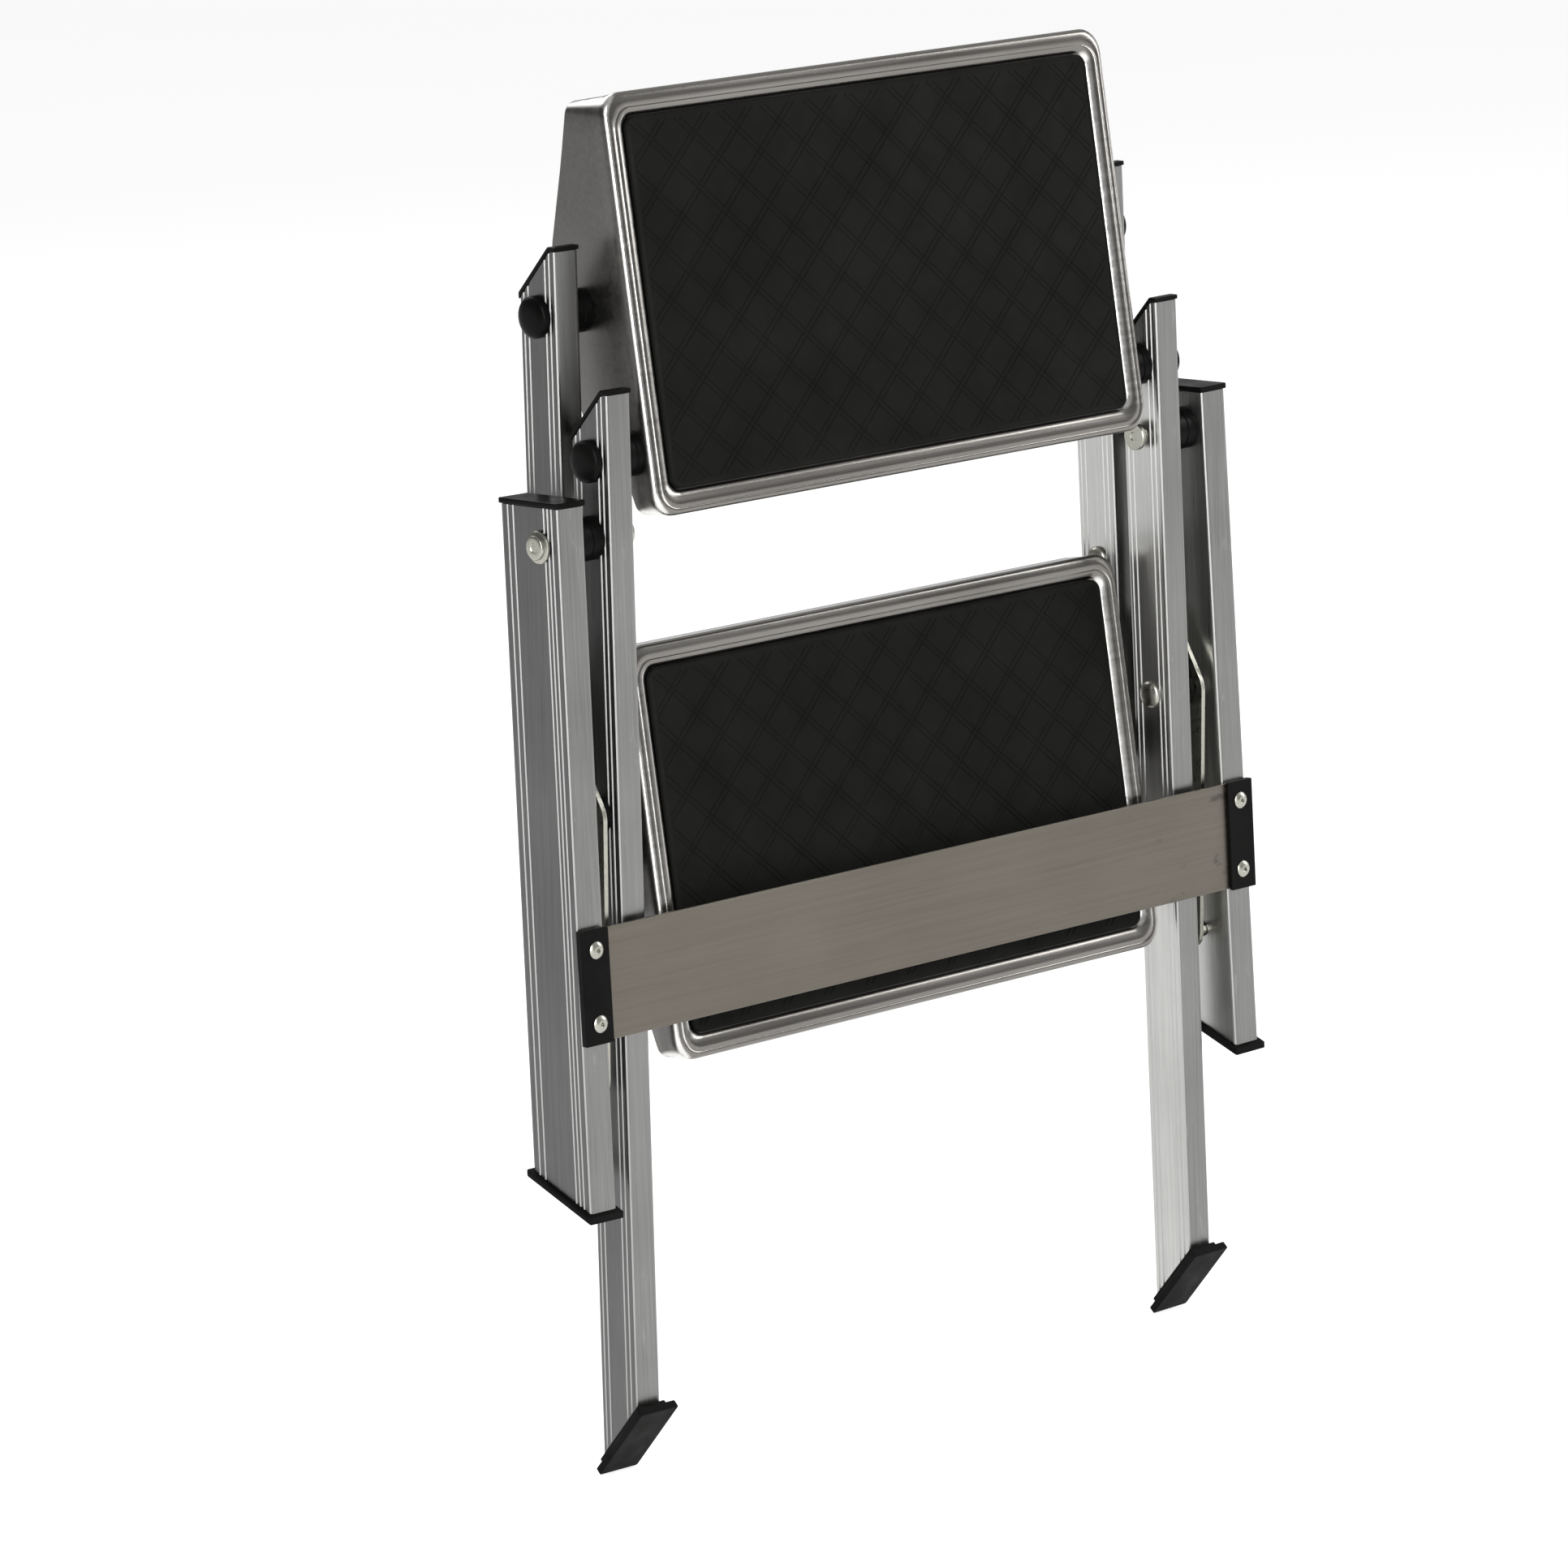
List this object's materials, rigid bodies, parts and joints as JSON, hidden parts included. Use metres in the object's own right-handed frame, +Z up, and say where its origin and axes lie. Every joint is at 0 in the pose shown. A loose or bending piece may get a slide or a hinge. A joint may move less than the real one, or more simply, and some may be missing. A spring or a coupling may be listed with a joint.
{
  "type": "folding two-tread step",
  "caption": "Folding aluminium step for climbing into a vehicle: ridged treads between splayed tube legs, opening on pivots and a slotted link, shown folded",
  "frame": {"origin": "centre of the folded step's bounding box, at floor level under the lowest sole", "axes": "+X across the step to its right as its standing surfaces are faced, -Y is the front that the tread mats face when folded, +Z up along the legs"},
  "size_m": [0.5684, 0.1001, 0.835],
  "materials": {
    "rail_aluminium": "satin mill finish, extruded",
    "tread_aluminium": "polished",
    "bar_aluminium": "brushed across its length",
    "zinc_steel": "zinc plated, satin",
    "black_plastic": "moulded, semi-gloss",
    "rubber": "moulded, matt"
  },
  "bodies": {
    "inner_frame": {"inner_leg_left": "rail_aluminium", "inner_leg_right": "rail_aluminium", "inner_foot_left": "rubber", "inner_foot_right": "rubber", "inner_cap_left": "black_plastic", "inner_cap_right": "black_plastic", "upper_front_pin_left": "black_plastic", "upper_front_pin_right": "black_plastic", "lower_front_pin_left": "black_plastic", "lower_front_pin_right": "black_plastic", "outer_pin_left": "zinc_steel", "outer_pin_right": "zinc_steel", "outer_bush_left": "black_plastic", "outer_bush_right": "black_plastic", "link_front_pin_left": "zinc_steel", "link_front_pin_right": "zinc_steel", "link_front_bush_left": "black_plastic", "link_front_bush_right": "black_plastic"},
    "rear_rails": {"rear_rail_left": "rail_aluminium", "rear_rail_right": "rail_aluminium", "rear_cap_left": "black_plastic", "rear_cap_right": "black_plastic", "rear_plug_left": "black_plastic", "rear_plug_right": "black_plastic", "upper_rear_pin_left": "black_plastic", "upper_rear_pin_right": "black_plastic", "lower_rear_pin_left": "black_plastic", "lower_rear_pin_right": "black_plastic", "link_rear_pin_left": "zinc_steel", "link_rear_pin_right": "zinc_steel", "link_rear_bush_left": "black_plastic", "link_rear_bush_right": "black_plastic"},
    "upper_tread_unit": {"upper_tread": "tread_aluminium", "upper_mat": "rubber", "upper_front_bush_left": "black_plastic", "upper_front_bush_right": "black_plastic", "upper_rear_bush_left": "black_plastic", "upper_rear_bush_right": "black_plastic"},
    "lower_tread_unit": {"lower_tread": "tread_aluminium", "lower_mat": "rubber", "lower_front_bush_left": "black_plastic", "lower_front_bush_right": "black_plastic", "lower_rear_bush_left": "black_plastic", "lower_rear_bush_right": "black_plastic"},
    "outer_legs": {"outer_leg_left": "rail_aluminium", "outer_leg_right": "rail_aluminium", "outer_top_cap_left": "black_plastic", "outer_top_cap_right": "black_plastic", "outer_foot_left": "rubber", "outer_foot_right": "rubber", "crossbar": "bar_aluminium", "bar_bracket_left": "black_plastic", "bar_bracket_right": "black_plastic", "bar_rivet_upper_left": "zinc_steel", "bar_rivet_upper_right": "zinc_steel", "bar_rivet_lower_left": "zinc_steel", "bar_rivet_lower_right": "zinc_steel"},
    "fold_links": {"fold_link_left": "zinc_steel", "fold_link_right": "zinc_steel"}
  },
  "joints": [
    {"name": "upper_tread_fold", "type": "hinge", "parent": "inner_frame", "child": "upper_tread_unit", "pos_m": [0, -0.01919, 0.6225], "axis": [-1, 0, 0], "range_deg": [0, 130.1]},
    {"name": "lower_tread_fold", "type": "hinge", "parent": "inner_frame", "child": "lower_tread_unit", "pos_m": [0, -0.01919, 0.2911], "axis": [-1, 0, 0], "range_deg": [0, 130.1]},
    {"name": "rear_rail_pivot", "type": "hinge", "parent": "upper_tread_unit", "child": "rear_rails", "pos_m": [0, 0.02461, 0.7044], "axis": [-1, 0, 0], "range_deg": [-130.1, 0]},
    {"name": "fold_link_pivot", "type": "hinge", "parent": "inner_frame", "child": "fold_links", "pos_m": [0, -0.01919, 0.4103], "axis": [-1, 0, 0], "range_deg": [0, 130.1]},
    {"name": "outer_leg_swing", "type": "hinge", "parent": "inner_frame", "child": "outer_legs", "pos_m": [0, -0.01919, 0.577], "axis": [-1, 0, 0], "range_deg": [0, 67.4]}
  ],
  "couplings": [
    {"joint": "lower_tread_fold", "follows": "upper_tread_fold", "ratio": 1},
    {"joint": "rear_rail_pivot", "follows": "upper_tread_fold", "ratio": -1},
    {"joint": "fold_link_pivot", "follows": "upper_tread_fold", "ratio": 1},
    {"joint": "outer_leg_swing", "follows": "upper_tread_fold", "ratio": 0.51806}
  ]
}
